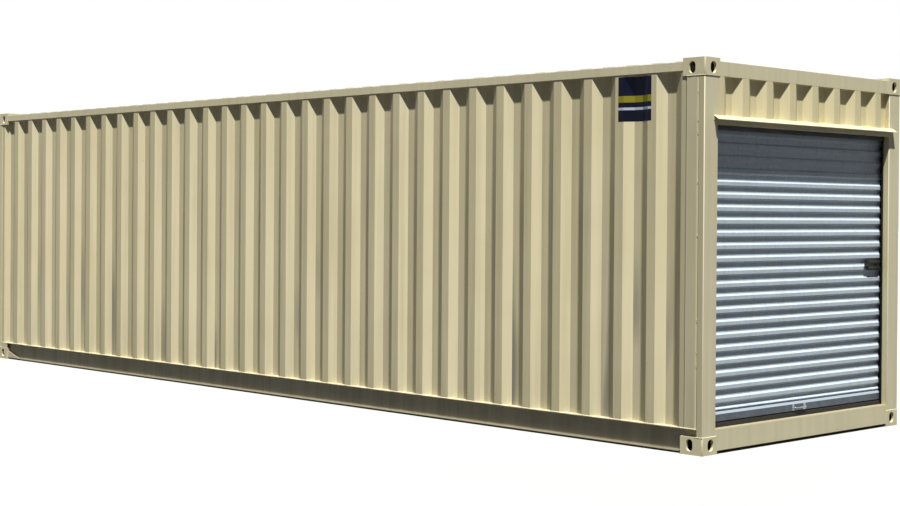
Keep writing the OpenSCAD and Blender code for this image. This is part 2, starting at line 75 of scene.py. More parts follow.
def per_metre(size_mm):
    """Texture scale at which a pattern repeats about every size_mm millimetres."""
    return 1000 / size_mm


def put(tree, kind, feeds=None, out=None, **settings):
    """Adds a node with its settings; feeds are values or links for its sockets, out is a socket to return."""
    node = tree.nodes.new(kind)
    for name, value in settings.items():
        setattr(node, name, value)
    for socket, value in (feeds or {}).items():
        if isinstance(value, bpy.types.Node):
            value = value.outputs[0]
        if isinstance(value, bpy.types.NodeSocket):
            tree.links.new(value, node.inputs[socket])
        else:
            node.inputs[socket].default_value = value
    return node if out is None else node.outputs[out]


# Sockets of a Mix node that mixes colours
SHARE, UNDER, OVER, MIXED = 0, 6, 7, 2


def start(name):
    """New material with its tree and the piece's own coordinates in metres."""
    material = bpy.data.materials.new(name)
    material.use_nodes = True
    tree = material.node_tree
    tree.nodes.clear()
    return material, tree, put(tree, "ShaderNodeTexCoord", out="Object")


def close(tree, feeds):
    """Ends a material with its surface shader."""
    shader = put(tree, "ShaderNodeBsdfPrincipled", feeds)
    put(tree, "ShaderNodeOutputMaterial", {"Surface": shader})


# Finishes

def enamel(name, colour, faded, runs, foot, smears=0.0, bands=()):
    """Sprayed enamel on steel sheet: an even tan with soft chalky patches, faint rain runs, dust that rises
    from the foot, a few rust specks and a slight orange peel. runs, foot and smears are shares of dirt;
    smears are for the pressed side walls, which with them also get painted light: the lit slope of each press
    is left a little brighter than the rest, and the lee slope gets painted shade mixed with grime. bands are
    strips of another colour, each with its axis, start, end, colour and share; on the Y axis they are
    measured from the middle. Some bands are painted highlights and painted shade along edges and joints,
    others plain darker strips."""
    material, tree, place = start(name)
    spot = put(tree, "ShaderNodeSeparateXYZ", {"Vector": place})
    across = put(tree, "ShaderNodeMath", {0: spot.outputs["Y"]}, operation="ABSOLUTE", out="Value")
    patch = put(tree, "ShaderNodeTexNoise", {"Vector": place, "Scale": per_metre(800), "Detail": 3.0})
    chalk = put(tree, "ShaderNodeMapRange", {"Value": patch, "From Min": 0.35, "From Max": 0.68})
    coat = put(tree, "ShaderNodeMix", {SHARE: chalk, UNDER: paint(colour), OVER: paint(faded)},
               data_type="RGBA", out=MIXED)
    tall = put(tree, "ShaderNodeMapping", {"Vector": place, "Scale": (1.0, 1.0, 0.025)})
    run = put(tree, "ShaderNodeTexNoise", {"Vector": tall, "Scale": per_metre(55), "Detail": 4.0})
    run_share = put(tree, "ShaderNodeMapRange",
                    {"Value": run, "From Min": 0.48, "From Max": 0.78, "To Max": runs})
    coat = put(tree, "ShaderNodeMix", {SHARE: run_share, UNDER: coat, OVER: paint("#9C9373")},
               data_type="RGBA", out=MIXED)
    rise = put(tree, "ShaderNodeMapRange",
               {"Value": spot.outputs["Z"], "From Min": 0.9, "From Max": 0.05, "To Max": foot})
    splash = put(tree, "ShaderNodeTexNoise",
                 {"Vector": tall, "Scale": per_metre(120), "Detail": 5.0, "Roughness": 0.65})
    splash_share = put(tree, "ShaderNodeMapRange", {"Value": splash, "From Min": 0.4, "From Max": 0.7})
    foot_share = put(tree, "ShaderNodeMath", {0: rise, 1: splash_share}, operation="MULTIPLY")
    coat = put(tree, "ShaderNodeMix", {SHARE: foot_share, UNDER: coat, OVER: paint("#968C72")},
               data_type="RGBA", out=MIXED)
    if smears:
        # How far behind the start of its press a point lies: lee slope, inner flat, lit slope, outer flat
        behind = put(tree, "ShaderNodeMath", {0: wall_high.x - FIRST, 1: spot.outputs["X"]},
                     operation="SUBTRACT")
        turn = put(tree, "ShaderNodeMath", {0: behind, 1: PITCH}, operation="FLOORED_MODULO")
        lit = put(tree, "ShaderNodeMath", {0: turn, 1: 1.5 * SLOPE + INNER, 2: SLOPE / 2},
                  operation="COMPARE")
        off_lit_slope = put(tree, "ShaderNodeMath", {0: 1.0, 1: lit}, operation="SUBTRACT")
        # Painted light: all but the lit slope of each press is dimmed a little, so that the lit slope shows
        # brighter
        coat = put(tree, "ShaderNodeMix", {SHARE: off_lit_slope, UNDER: coat, OVER: paint("#E9E8E5")},
                   data_type="RGBA", blend_type="MULTIPLY", out=MIXED)
        # Violet-grey rub marks in some of the recesses, up to about chest height
        along = put(tree, "ShaderNodeMapping", {"Vector": place, "Scale": (1.0, 0.0, 0.12)})
        rub = put(tree, "ShaderNodeTexNoise", {"Vector": along, "Scale": per_metre(330), "Detail": 2.0})
        rub_share = put(tree, "ShaderNodeMapRange",
                        {"Value": rub, "From Min": 0.57, "From Max": 0.67, "To Max": smears})
        low = put(tree, "ShaderNodeMapRange",
                  {"Value": spot.outputs["Z"], "From Min": 1.35, "From Max": 0.75})
        recess = put(tree, "ShaderNodeMapRange",
                     {"Value": across, "From Min": -wall_low.y - 10 * MM, "From Max": -wall_low.y - 30 * MM})
        rub_share = put(tree, "ShaderNodeMath", {0: rub_share, 1: low}, operation="MULTIPLY")
        rub_share = put(tree, "ShaderNodeMath", {0: rub_share, 1: recess}, operation="MULTIPLY")
        rub_share = put(tree, "ShaderNodeMath", {0: rub_share, 1: off_lit_slope}, operation="MULTIPLY")
        coat = put(tree, "ShaderNodeMix", {SHARE: rub_share, UNDER: coat, OVER: paint("#6F6A6A")},
                   data_type="RGBA", out=MIXED)
        # Painted shade mixed with grime on the lee slope of each press and in its bend, darker towards the
        # ground
        lee_width = SLOPE + 9 * MM
        lee = put(tree, "ShaderNodeMath", {0: turn, 1: lee_width / 2, 2: lee_width / 2}, operation="COMPARE")
        cling = put(tree, "ShaderNodeMapRange",
                    {"Value": splash, "From Min": 0.3, "From Max": 0.65, "To Min": 0.5, "To Max": 0.85})
        fall = put(tree, "ShaderNodeMapRange",
                   {"Value": spot.outputs["Z"], "From Min": 2.5, "From Max": 1.5})
        lee_shade_and_grime = put(tree, "ShaderNodeMath", {0: lee, 1: cling}, operation="MULTIPLY")
        lee_shade_and_grime = put(tree, "ShaderNodeMath", {0: lee_shade_and_grime, 1: fall}, operation="MULTIPLY")
        coat = put(tree, "ShaderNodeMix", {SHARE: lee_shade_and_grime, UNDER: coat, OVER: paint("#9A9073")},
                   data_type="RGBA", out=MIXED)
    measure = {"X": spot.outputs["X"], "Y": across, "Z": spot.outputs["Z"]}
    for axis, low, high, tint, share in bands:
        band = put(tree, "ShaderNodeMath", {0: measure[axis], 1: (low + high) / 2, 2: (high - low) / 2},
                   operation="COMPARE")
        band = put(tree, "ShaderNodeMath", {0: band, 1: share}, operation="MULTIPLY")
        coat = put(tree, "ShaderNodeMix", {SHARE: band, UNDER: coat, OVER: paint(tint)},
                   data_type="RGBA", out=MIXED)
    speck = put(tree, "ShaderNodeTexVoronoi", {"Vector": place, "Scale": per_metre(190)})
    rust = put(tree, "ShaderNodeMapRange",
               {"Value": speck.outputs["Distance"], "From Min": 0.022, "From Max": 0.012, "To Max": 0.8})
    coat = put(tree, "ShaderNodeMix", {SHARE: rust, UNDER: coat, OVER: paint("#7B5434")},
               data_type="RGBA", out=MIXED)
    gloss = put(tree, "ShaderNodeMapRange",
                {"Value": splash, "From Min": 0.3, "From Max": 0.7, "To Min": 0.46, "To Max": 0.62})
    peel = put(tree, "ShaderNodeTexNoise", {"Vector": place, "Scale": per_metre(7), "Detail": 2.0})
    skin = put(tree, "ShaderNodeBump", {"Height": peel, "Strength": 0.06, "Distance": 0.6 * MM})
    wave = put(tree, "ShaderNodeTexNoise", {"Vector": place, "Scale": per_metre(420), "Detail": 1.0})
    sheet = put(tree, "ShaderNodeBump",
                {"Height": wave, "Strength": 0.35, "Distance": 9 * MM, "Normal": skin})
    close(tree, {"Base Color": coat, "Roughness": gloss, "Specular IOR Level": 0.13, "Normal": sheet})
    return material


def casting_finish():
    """Enamel over cast steel: a coarser skin than the sheet, rust that bleeds from chips, and painted shade
    that makes the hollow behind the holes dark."""
    material, tree, place = start("enamelled_cast_steel")
    patch = put(tree, "ShaderNodeTexNoise", {"Vector": place, "Scale": per_metre(150), "Detail": 4.0})
    chalk = put(tree, "ShaderNodeMapRange", {"Value": patch, "From Min": 0.36, "From Max": 0.66})
    coat = put(tree, "ShaderNodeMix", {SHARE: chalk, UNDER: paint("#CFC6A1"), OVER: paint("#DAD1AD")},
               data_type="RGBA", out=MIXED)
    chip = put(tree, "ShaderNodeTexNoise",
               {"Vector": place, "Scale": per_metre(38), "Detail": 6.0, "Roughness": 0.7})
    bare = put(tree, "ShaderNodeMapRange",
               {"Value": chip, "From Min": 0.66, "From Max": 0.72, "To Max": 0.75})
    coat = put(tree, "ShaderNodeMix", {SHARE: bare, UNDER: coat, OVER: paint("#7A5638")},
               data_type="RGBA", out=MIXED)
    # Painted shade: points inside the hollow behind the holes, deeper than the casting's skin, are made dark
    middle = put(tree, "ShaderNodeVectorMath", {0: place, 1: (0, 0, HEIGHT / 2)}, operation="SUBTRACT")
    mirrored = put(tree, "ShaderNodeVectorMath", {0: middle}, operation="ABSOLUTE")
    reach = put(tree, "ShaderNodeSeparateXYZ", {"Vector": mirrored})
    hollow, skin_out, skin_in = None, 20 * MM, 9 * MM
    for axis, outer, size in (("X", HALF_L, CAST_X), ("Y", HALF_W, CAST_Y), ("Z", HEIGHT / 2, CAST_Z)):
        within = put(tree, "ShaderNodeMath",
                     {0: reach.outputs[axis], 1: outer - (size + skin_out - skin_in) / 2,
                      2: (size - skin_out - skin_in) / 2}, operation="COMPARE")
        if hollow:
            within = put(tree, "ShaderNodeMath", {0: hollow, 1: within}, operation="MULTIPLY")
        hollow = within
    coat = put(tree, "ShaderNodeMix", {SHARE: hollow, UNDER: coat, OVER: paint("#2A261C")},
               data_type="RGBA", out=MIXED)
    grit = put(tree, "ShaderNodeTexNoise", {"Vector": place, "Scale": per_metre(9), "Detail": 3.0})
    skin = put(tree, "ShaderNodeBump", {"Height": grit, "Strength": 0.25, "Distance": 1.2 * MM})
    gloss = put(tree, "ShaderNodeMapRange",
                {"Value": chip, "From Min": 0.4, "From Max": 0.7, "To Min": 0.45, "To Max": 0.75})
    close(tree, {"Base Color": coat, "Roughness": gloss, "Specular IOR Level": 0.15, "Normal": skin})
    return material


def curtain_finish():
    """Galvanised sheet that has dulled: grey spangle cells, rolled streaks along the ribs and dust runs."""
    material, tree, place = start("galvanised_sheet")
    cell = put(tree, "ShaderNodeTexVoronoi", {"Vector": place, "Scale": per_metre(16)}, out="Color")
    grey = put(tree, "ShaderNodeSeparateColor", {"Color": cell})
    coat = put(tree, "ShaderNodeMix",
               {SHARE: grey.outputs["Red"], UNDER: paint("#B9C4CB"), OVER: paint("#C5CFD6")},
               data_type="RGBA", out=MIXED)
    long = put(tree, "ShaderNodeMapping", {"Vector": place, "Scale": (1.0, 0.03, 1.0)})
    roll = put(tree, "ShaderNodeTexNoise", {"Vector": long, "Scale": per_metre(14), "Detail": 4.0})
    roll_share = put(tree, "ShaderNodeMapRange",
                     {"Value": roll, "From Min": 0.5, "From Max": 0.75, "To Max": 0.5})
    coat = put(tree, "ShaderNodeMix", {SHARE: roll_share, UNDER: coat, OVER: paint("#A7B3B6")},
               data_type="RGBA", out=MIXED)
    tall = put(tree, "ShaderNodeMapping", {"Vector": place, "Scale": (1.0, 1.0, 0.05)})
    run = put(tree, "ShaderNodeTexNoise", {"Vector": tall, "Scale": per_metre(70), "Detail": 4.0})
    run_share = put(tree, "ShaderNodeMapRange",
                    {"Value": run, "From Min": 0.52, "From Max": 0.8, "To Max": 0.35})
    coat = put(tree, "ShaderNodeMix", {SHARE: run_share, UNDER: coat, OVER: paint("#9AA4A6")},
               data_type="RGBA", out=MIXED)
    gloss = put(tree, "ShaderNodeMapRange",
                {"Value": roll, "From Min": 0.3, "From Max": 0.7, "To Min": 0.38, "To Max": 0.52})
    skin = put(tree, "ShaderNodeBump", {"Height": roll, "Strength": 0.08, "Distance": 0.8 * MM})
    close(tree, {"Base Color": coat, "Metallic": 0.02, "Roughness": gloss, "Specular IOR Level": 0.1,
                 "Normal": skin})
    return material


def drawn_metal(name, colour, worn, metallic, low_gloss, high_gloss, lit_above=None):
    """Drawn or plated metal: fine lines along the bar, with duller worn patches. lit_above is the height
    above which the metal is painted pale, a painted highlight for light falling on its top."""
    material, tree, place = start(name)
    long = put(tree, "ShaderNodeMapping", {"Vector": place, "Scale": (1.0, 0.02, 1.0)})
    line = put(tree, "ShaderNodeTexNoise", {"Vector": long, "Scale": per_metre(4), "Detail": 3.0})
    dull = put(tree, "ShaderNodeTexNoise", {"Vector": place, "Scale": per_metre(60), "Detail": 4.0})
    dull_share = put(tree, "ShaderNodeMapRange", {"Value": dull, "From Min": 0.4, "From Max": 0.66})
    coat = put(tree, "ShaderNodeMix", {SHARE: dull_share, UNDER: paint(colour), OVER: paint(worn)},
               data_type="RGBA", out=MIXED)
    if lit_above:
        spot = put(tree, "ShaderNodeSeparateXYZ", {"Vector": place})
        # Painted highlight: the metal above that height is pale
        lit_top = put(tree, "ShaderNodeMapRange",
                     {"Value": spot.outputs["Z"], "From Min": lit_above - 1 * MM, "From Max": lit_above})
        coat = put(tree, "ShaderNodeMix", {SHARE: lit_top, UNDER: coat, OVER: paint("#A2ACB4")},
                   data_type="RGBA", out=MIXED)
    gloss = put(tree, "ShaderNodeMapRange",
                {"Value": line, "From Min": 0.3, "From Max": 0.7, "To Min": low_gloss, "To Max": high_gloss})
    skin = put(tree, "ShaderNodeBump", {"Height": line, "Strength": 0.12, "Distance": 0.3 * MM})
    close(tree, {"Base Color": coat, "Metallic": metallic, "Roughness": gloss, "Specular IOR Level": 0.25,
                 "Normal": skin})
    return material


def dull_coat(name, colour, dust, grain_mm, low_gloss, high_gloss, relief):
    """Matt black or dark skin, such as rubber, powder coat or underseal: fine grain under a film of dust."""
    material, tree, place = start(name)
    film = put(tree, "ShaderNodeTexNoise", {"Vector": place, "Scale": per_metre(110), "Detail": 5.0})
    film_share = put(tree, "ShaderNodeMapRange",
                     {"Value": film, "From Min": 0.42, "From Max": 0.74, "To Max": 0.7})
    coat = put(tree, "ShaderNodeMix", {SHARE: film_share, UNDER: paint(colour), OVER: paint(dust)},
               data_type="RGBA", out=MIXED)
    grain = put(tree, "ShaderNodeTexNoise", {"Vector": place, "Scale": per_metre(grain_mm), "Detail": 2.0})
    skin = put(tree, "ShaderNodeBump", {"Height": grain, "Strength": 0.2, "Distance": relief * MM})
    gloss = put(tree, "ShaderNodeMapRange",
                {"Value": film, "From Min": 0.3, "From Max": 0.7, "To Min": low_gloss, "To Max": high_gloss})
    close(tree, {"Base Color": coat, "Roughness": gloss, "Specular IOR Level": 0.2, "Normal": skin})
    return material


def ply_finish():
    """Oiled floor ply: olive-brown grain along the container, with the joints of its sheets."""
    material, tree, place = start("floor_plywood")
    long = put(tree, "ShaderNodeMapping", {"Vector": place, "Scale": (0.06, 1.0, 1.0)})
    grain = put(tree, "ShaderNodeTexNoise",
                {"Vector": long, "Scale": per_metre(18), "Detail": 6.0, "Distortion": 0.6})
    grain_share = put(tree, "ShaderNodeMapRange", {"Value": grain, "From Min": 0.35, "From Max": 0.68})
    wood = put(tree, "ShaderNodeMix", {SHARE: grain_share, UNDER: paint("#38352E"), OVER: paint("#282622")},
               data_type="RGBA", out=MIXED)
    joint = put(tree, "ShaderNodeTexBrick",
                {"Vector": place, "Scale": 1.0, "Mortar Size": 4 * MM, "Brick Width": 2.44,
                 "Row Height": 1.22}, out="Fac")
    wood = put(tree, "ShaderNodeMix", {SHARE: joint, UNDER: wood, OVER: paint("#221C12")},
               data_type="RGBA", out=MIXED)
    skin = put(tree, "ShaderNodeBump", {"Height": grain, "Strength": 0.25, "Distance": 0.8 * MM})
    close(tree, {"Base Color": wood, "Roughness": 0.72, "Specular IOR Level": 0.2, "Normal": skin})
    return material


# Stripes of the sign: colour, height of the middle and half the breadth
STRIPES = (("#8E8728", 2.345, 22 * MM), ("#B9C3CC", 2.280, 9 * MM))


def sign_finish():
    """Printed navy sign film with two plain stripes: bleached a little towards its top, with fine dust."""
    material, tree, place = start("printed_vinyl_film")
    spot = put(tree, "ShaderNodeSeparateXYZ", {"Vector": place})
    bleach = put(tree, "ShaderNodeMapRange", {"Value": spot.outputs["Z"], "From Min": 2.2, "From Max": 2.48})
    film = put(tree, "ShaderNodeMix", {SHARE: bleach, UNDER: paint("#050A18"), OVER: paint("#070B24")},
               data_type="RGBA", out=MIXED)
    for colour, middle, half in STRIPES:
        stripe = put(tree, "ShaderNodeMath", {0: spot.outputs["Z"], 1: middle, 2: half},
                     operation="COMPARE")
        film = put(tree, "ShaderNodeMix", {SHARE: stripe, UNDER: film, OVER: paint(colour)},
                   data_type="RGBA", out=MIXED)
    dust = put(tree, "ShaderNodeTexNoise", {"Vector": place, "Scale": per_metre(45), "Detail": 6.0})
    dust_share = put(tree, "ShaderNodeMapRange",
                     {"Value": dust, "From Min": 0.5, "From Max": 0.8, "To Max": 0.12})
    film = put(tree, "ShaderNodeMix", {SHARE: dust_share, UNDER: film, OVER: paint("#3B4150")},
               data_type="RGBA", out=MIXED)
    gloss = put(tree, "ShaderNodeMapRange",
                {"Value": dust, "From Min": 0.35, "From Max": 0.7, "To Min": 0.4, "To Max": 0.55})
    close(tree, {"Base Color": film, "Roughness": gloss, "Specular IOR Level": 0.1})
    return material


# Strips of the enamel's bands: the pale ones are painted highlights on edges that catch the light, most dark
# ones painted shade beside edges and joints; the jamb's seam with the post and the bottom rail's foot get
# plain darker strips
jamb_face, jamb_inside = -jamb_low.y, -jamb_high.y
sill_top, rail_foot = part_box("door_sill")[1].z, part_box("bottom_rail_left")[0].z
# Painted shade: the wall's flat strip next to the post and the line of its joint with the post are darkened
wall_enamel = enamel("tan_enamel_on_wall_sheet", "#DFD4AB", "#E6DBB4", 0.26, 0.32, smears=0.75, bands=(
    ("X", wall_high.x - FIRST, wall_high.x, "#BAB190", 0.7),
    ("X", wall_high.x - 9 * MM, wall_high.x + 1 * MM, "#857D60", 0.9)))
end_enamel = enamel("tan_enamel_on_end_sheet", "#D9CDA0", "#DFD4A9", 0.26, 0.32)
frame_enamel = enamel("tan_enamel_on_frame", "#D3CAA6", "#DBD2AF", 0.22, 0.4)
# Painted highlights: pale lines along both edges of each door post
post_enamel = enamel("tan_enamel_on_post", "#C6BD9B", "#CEC5A4", 0.22, 0.4, bands=(
    ("X", post_low.x - 1 * MM, post_low.x + 8 * MM, "#D8CFAE", 0.7),
    ("X", post_high.x - 12 * MM, post_high.x + 1 * MM, "#E1D7B0", 0.8)))
# Painted highlights on the jamb's rounded corners and painted shade on its side faces just past them; the
# last strip is a darker line along its seam with the post
jamb_enamel = enamel("tan_enamel_on_jamb", "#D3CAA6", "#DBD2AF", 0.22, 0.15, bands=(
    ("Y", jamb_face - 7 * MM, jamb_face - 0.3 * MM, "#F3EBCD", 0.9),
    ("Y", jamb_face - 0.3 * MM, jamb_face + 1 * MM, "#BDB38F", 0.9),
    ("Y", jamb_inside + 0.3 * MM, jamb_inside + 7 * MM, "#EFE5C6", 0.8),
    ("Y", jamb_inside - 1 * MM, jamb_inside + 0.3 * MM, "#C3B993", 0.8),
    ("X", jamb_low.x - 1 * MM, jamb_low.x + 7 * MM, "#9A9170", 0.9)))
# Painted shade: the top edge of the sill is darkened
sill_enamel = enamel("tan_enamel_on_sill", "#D5CCA7", "#DDD4B0", 0.1, 0.12, bands=(
    ("Z", sill_top - 2 * MM, sill_top + 1 * MM, "#A89E80", 1.0),))
rail_enamel = enamel("tan_enamel_on_bottom_rail", "#C8C0A4", "#D0C8AD", 0.2, 0.45, bands=(
    ("Z", rail_foot - 1 * MM, rail_foot + 6 * MM, "#88826E", 0.95),))
# Painted shade: the roof's tan is darker than the walls' to hold back the strong light from above, and it
# gets heavier rain runs
roof_enamel_with_painted_shade = enamel("tan_enamel_on_roof_with_painted_shade", "#9C9375", "#A89F80", 0.5, 0.0)
weld_enamel = enamel("tan_enamel_on_weld", "#D9D0AC", "#E0D7B4", 0.1, 0.2)
cast_enamel = casting_finish()
galvanised = curtain_finish()
# Painted light on the bottom bar: its face is a dark grey that stands in for shade, and its top 15 mm is pale
# as a painted highlight
bar_with_painted_light = drawn_metal("galvanised_bar_with_painted_light", "#535B63", "#5D656C", 0.03, 0.46, 0.6,
                       lit_above=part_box("bottom_bar")[1].z - 15 * MM)
zinc = drawn_metal("zinc_plated_steel", "#B8BDC2", "#868C92", 1.0, 0.2, 0.36)
# Painted shade: the guides are near black, standing in for the shaded gap beside the curtain's edges
guide_black_for_painted_shade = dull_coat("guide_steel_black_as_painted_shade", "#0B0C0C", "#1B1B1A", 6, 0.45, 0.65, 0.4)
rubber = dull_coat("black_rubber", "#0C0C0B", "#22201D", 5, 0.62, 0.8, 0.5)
powder_black = dull_coat("black_powder_coat", "#262622", "#3B3B33", 3, 0.42, 0.58, 0.3)
bolt_black = dull_coat("black_oiled_steel", "#060606", "#131312", 3, 0.4, 0.55, 0.3)
underseal = dull_coat("underframe_coating", "#2B281F", "#4A4535", 14, 0.6, 0.85, 2.0)
plywood = ply_finish()
navy_film = sign_finish()

finish_of = {name: frame_enamel for name in nodes}
finish_of.update({name: wall_enamel for name in nodes if name.startswith("side_wall_")})
finish_of.update({name: rail_enamel for name in nodes if name.startswith(("bottom_rail_", "rail_gussets"))})
finish_of.update({name: cast_enamel for name in nodes if name.startswith("casting_")})
finish_of.update({
    "door_post_left": post_enamel, "door_post_right": post_enamel, "door_sill": sill_enamel,
    "jamb_left": jamb_enamel, "jamb_right": jamb_enamel,
    "back_wall": end_enamel, "transom_panel": end_enamel, "roof_panel": roof_enamel_with_painted_shade,
    "floor_deck": plywood, "cross_members": underseal,
    "guide_left": guide_black_for_painted_shade, "guide_right": guide_black_for_painted_shade, "door_curtain": galvanised,
    # The lintel strip is black rubber; its black also stands in for the shade of the gap above the curtain
    "bottom_bar": bar_with_painted_light, "bottom_seal": rubber, "lintel_strip": rubber, "pull_handle": zinc,
    "latch_plate": powder_black, "latch_bolt": bolt_black,
})
for name, finish in finish_of.items():
    nodes[name].data.materials.clear()
    nodes[name].data.materials.append(finish)


# Softened edges: the weld joins the node's loose triangles, the bevel rounds what is sharper than the angle

EDGE_MM = {"casting_": 3.0, "jamb_": 1.0, "door_top_rail": 2.0, "door_sill": 1.5, "back_top_rail": 2.0,
           "back_bottom_rail": 2.5, "top_rail_": 2.0, "lintel": 1.5, "drip_cap": 0.8, "latch_": 0.8,
           "door_post_": 2.0, "bottom_bar": 0.8, "bottom_seal": 2.0, "pull_handle": 0.5}
for name, node in nodes.items():
    for key, width in EDGE_MM.items():
        if name.startswith(key) and name != "lintel_strip":
            join = node.modifiers.new("join", "WELD")
            join.merge_threshold = 0.01 * MM
            edge = node.modifiers.new("edge", "BEVEL")
            edge.width = width * MM
            edge.segments = 2
            edge.limit_method = "ANGLE"
            edge.angle_limit = math.radians(50)


# Pieces that repeat along seams and rows

def bead_tree():
    """Overlapping weld ripples along every path of a bare edge mesh."""
    tree = bpy.data.node_groups.new("weld_ripples", "GeometryNodeTree")
    sockets = tree.interface
    sockets.new_socket("Paths", in_out="INPUT", socket_type="NodeSocketGeometry")
    sockets.new_socket("Bead radius", in_out="INPUT", socket_type="NodeSocketFloat")
    sockets.new_socket("Ripple spacing", in_out="INPUT", socket_type="NodeSocketFloat")
    sockets.new_socket("Finish", in_out="INPUT", socket_type="NodeSocketMaterial")
    sockets.new_socket("Welds", in_out="OUTPUT", socket_type="NodeSocketGeometry")
    given = put(tree, "NodeGroupInput")
    path = put(tree, "GeometryNodeMeshToCurve", {"Mesh": given.outputs["Paths"]})
    steps = put(tree, "GeometryNodeResampleCurve",
                {"Curve": path, "Length": given.outputs["Ripple spacing"]}, mode="LENGTH")
    ball = put(tree, "GeometryNodeMeshUVSphere",
               {"Segments": 6, "Rings": 4, "Radius": given.outputs["Bead radius"]})
    ripple = put(tree, "GeometryNodeTransform", {"Geometry": ball, "Scale": (1.35, 1.0, 1.0)})
    heading = put(tree, "GeometryNodeInputTangent")
    turn = put(tree, "FunctionNodeAlignRotationToVector", {"Vector": heading}, axis="X")
    size = put(tree, "FunctionNodeRandomValue", {2: 0.82, 3: 1.18, "Seed": 7}, data_type="FLOAT")
    row = put(tree, "GeometryNodeInstanceOnPoints",
              {"Points": steps, "Instance": ripple, "Rotation": turn, "Scale": size.outputs[1]})
    solid = put(tree, "GeometryNodeRealizeInstances", {"Geometry": row})
    smooth = put(tree, "GeometryNodeSetShadeSmooth", {"Geometry": solid})
    coated = put(tree, "GeometryNodeSetMaterial",
                 {"Geometry": smooth, "Material": given.outputs["Finish"]})
    put(tree, "NodeGroupOutput", {"Welds": coated})
    return tree


def head_tree():
    """A domed screw or rivet head, flattened along X, on every point of a bare mesh."""
    tree = bpy.data.node_groups.new("domed_heads", "GeometryNodeTree")
    sockets = tree.interface
    sockets.new_socket("Places", in_out="INPUT", socket_type="NodeSocketGeometry")
    sockets.new_socket("Head radius", in_out="INPUT", socket_type="NodeSocketFloat")
    sockets.new_socket("Finish", in_out="INPUT", socket_type="NodeSocketMaterial")
    sockets.new_socket("Heads", in_out="OUTPUT", socket_type="NodeSocketGeometry")
    given = put(tree, "NodeGroupInput")
    ball = put(tree, "GeometryNodeMeshUVSphere",
               {"Segments": 10, "Rings": 6, "Radius": given.outputs["Head radius"]})
    dome = put(tree, "GeometryNodeTransform", {"Geometry": ball, "Scale": (0.45, 1.0, 1.0)})
    row = put(tree, "GeometryNodeInstanceOnPoints", {"Points": given.outputs["Places"], "Instance": dome})
    solid = put(tree, "GeometryNodeRealizeInstances", {"Geometry": row})
    smooth = put(tree, "GeometryNodeSetShadeSmooth", {"Geometry": solid})
    coated = put(tree, "GeometryNodeSetMaterial",
                 {"Geometry": smooth, "Material": given.outputs["Finish"]})
    put(tree, "NodeGroupOutput", {"Heads": coated})
    return tree


def grow(name, tree, points, edges, sizes, slot):
    """Runs a tree on a bare mesh and keeps the result as a plain mesh piece on the container."""
    bare = bpy.data.meshes.new(name + "_places")
    bare.from_pydata(points, edges, [])
    carrier = bpy.data.objects.new(name + "_places", bare)
    scene.collection.objects.link(carrier)
    growth = carrier.modifiers.new("growth", "NODES")
    growth.node_group = tree
    for socket in tree.interface.items_tree:
        if socket.in_out == "INPUT" and socket.name in sizes:
            growth[socket.identifier] = sizes[socket.name]
    ready = carrier.evaluated_get(bpy.context.evaluated_depsgraph_get())
    piece = bpy.data.objects.new(name, bpy.data.meshes.new_from_object(ready))
    scene.collection.objects.link(piece)
    bpy.data.objects.remove(carrier)
    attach(piece, "container")


def strung(paths):
    """Points and edges of several open paths."""
    points, edges = [], []
    for path in paths:
        first = len(points)
        points.extend(path)
        edges.extend((i, i + 1) for i in range(first, len(points) - 1))
    return points, edges


welds = bead_tree()

# Stitch welds between jamb and post, on both sides of the container: their heights and length, and how far
# their middle lies in from the side
STITCHES = (0.575, 0.66, 0.87, 1.42, 1.77, 2.09, 2.175, 2.36)
STITCH_LONG, STITCH_IN = 16 * MM, 2.2 * MM
stitches = []
for side in (-1, 1):
    seam = (jamb_low.x - 1 * MM, side * (HALF_W - STITCH_IN))
    stitches += [[(*seam, z), (*seam, z + STITCH_LONG)] for z in STITCHES]
grow("jamb_stitch_welds", welds, *strung(stitches),
     {"Bead radius": 3.2 * MM, "Ripple spacing": 4 * MM, "Finish": weld_enamel}, "tan_enamel")

# Fillet welds round the posts where they meet the castings: how far the bead lies in from the side and from
# the end, and how far it reaches along each of them; the foot of a post is cut back for the bottom rail
SIDE_IN, END_IN, END_RUN, FOOT_RUN = 1.5 * MM, 4 * MM, 149 * MM, 60 * MM
HEAD_RUN = {1: 147 * MM, -1: 62 * MM}
rings = []
for end in (-1, 1):
    for side in (-1, 1):
        for z, run in ((CAST_Z, FOOT_RUN), (HEIGHT - CAST_Z, HEAD_RUN[end])):
            y = side * (HALF_W - SIDE_IN)
            x_face = end * (HALF_L - END_IN)
            rings.append([(end * (HALF_L - run), y, z), (x_face, y, z),
                          (x_face, side * (HALF_W - END_RUN), z)])
grow("casting_welds", welds, *strung(rings),
     {"Bead radius": 3.5 * MM, "Ripple spacing": 5 * MM, "Finish": weld_enamel}, "tan_enamel")

# Fillet welds along the foot of both pressed side walls and of the door posts
feet = []
for side in (-1, 1):
    outer = -wall_low.y
    foot = [(wall_high.x, side * outer, wall_low.z)]
    for i in range(PRESSES):
        x = wall_high.x - FIRST - i * PITCH
        foot += [(x, side * outer, wall_low.z), (x - SLOPE, side * (outer - DEPTH), wall_low.z),
                 (x - SLOPE - INNER, side * (outer - DEPTH), wall_low.z),
                 (x - 2 * SLOPE - INNER, side * outer, wall_low.z)]
    foot.append((wall_low.x, side * outer, wall_low.z))
    feet.append(foot)
    feet.append([(x, side * -post_low.y, wall_low.z) for x in (post_high.x, post_low.x)])
grow("wall_foot_welds", welds, *strung(feet),
     {"Bead radius": 5 * MM, "Ripple spacing": 9 * MM, "Finish": weld_enamel}, "tan_enamel")

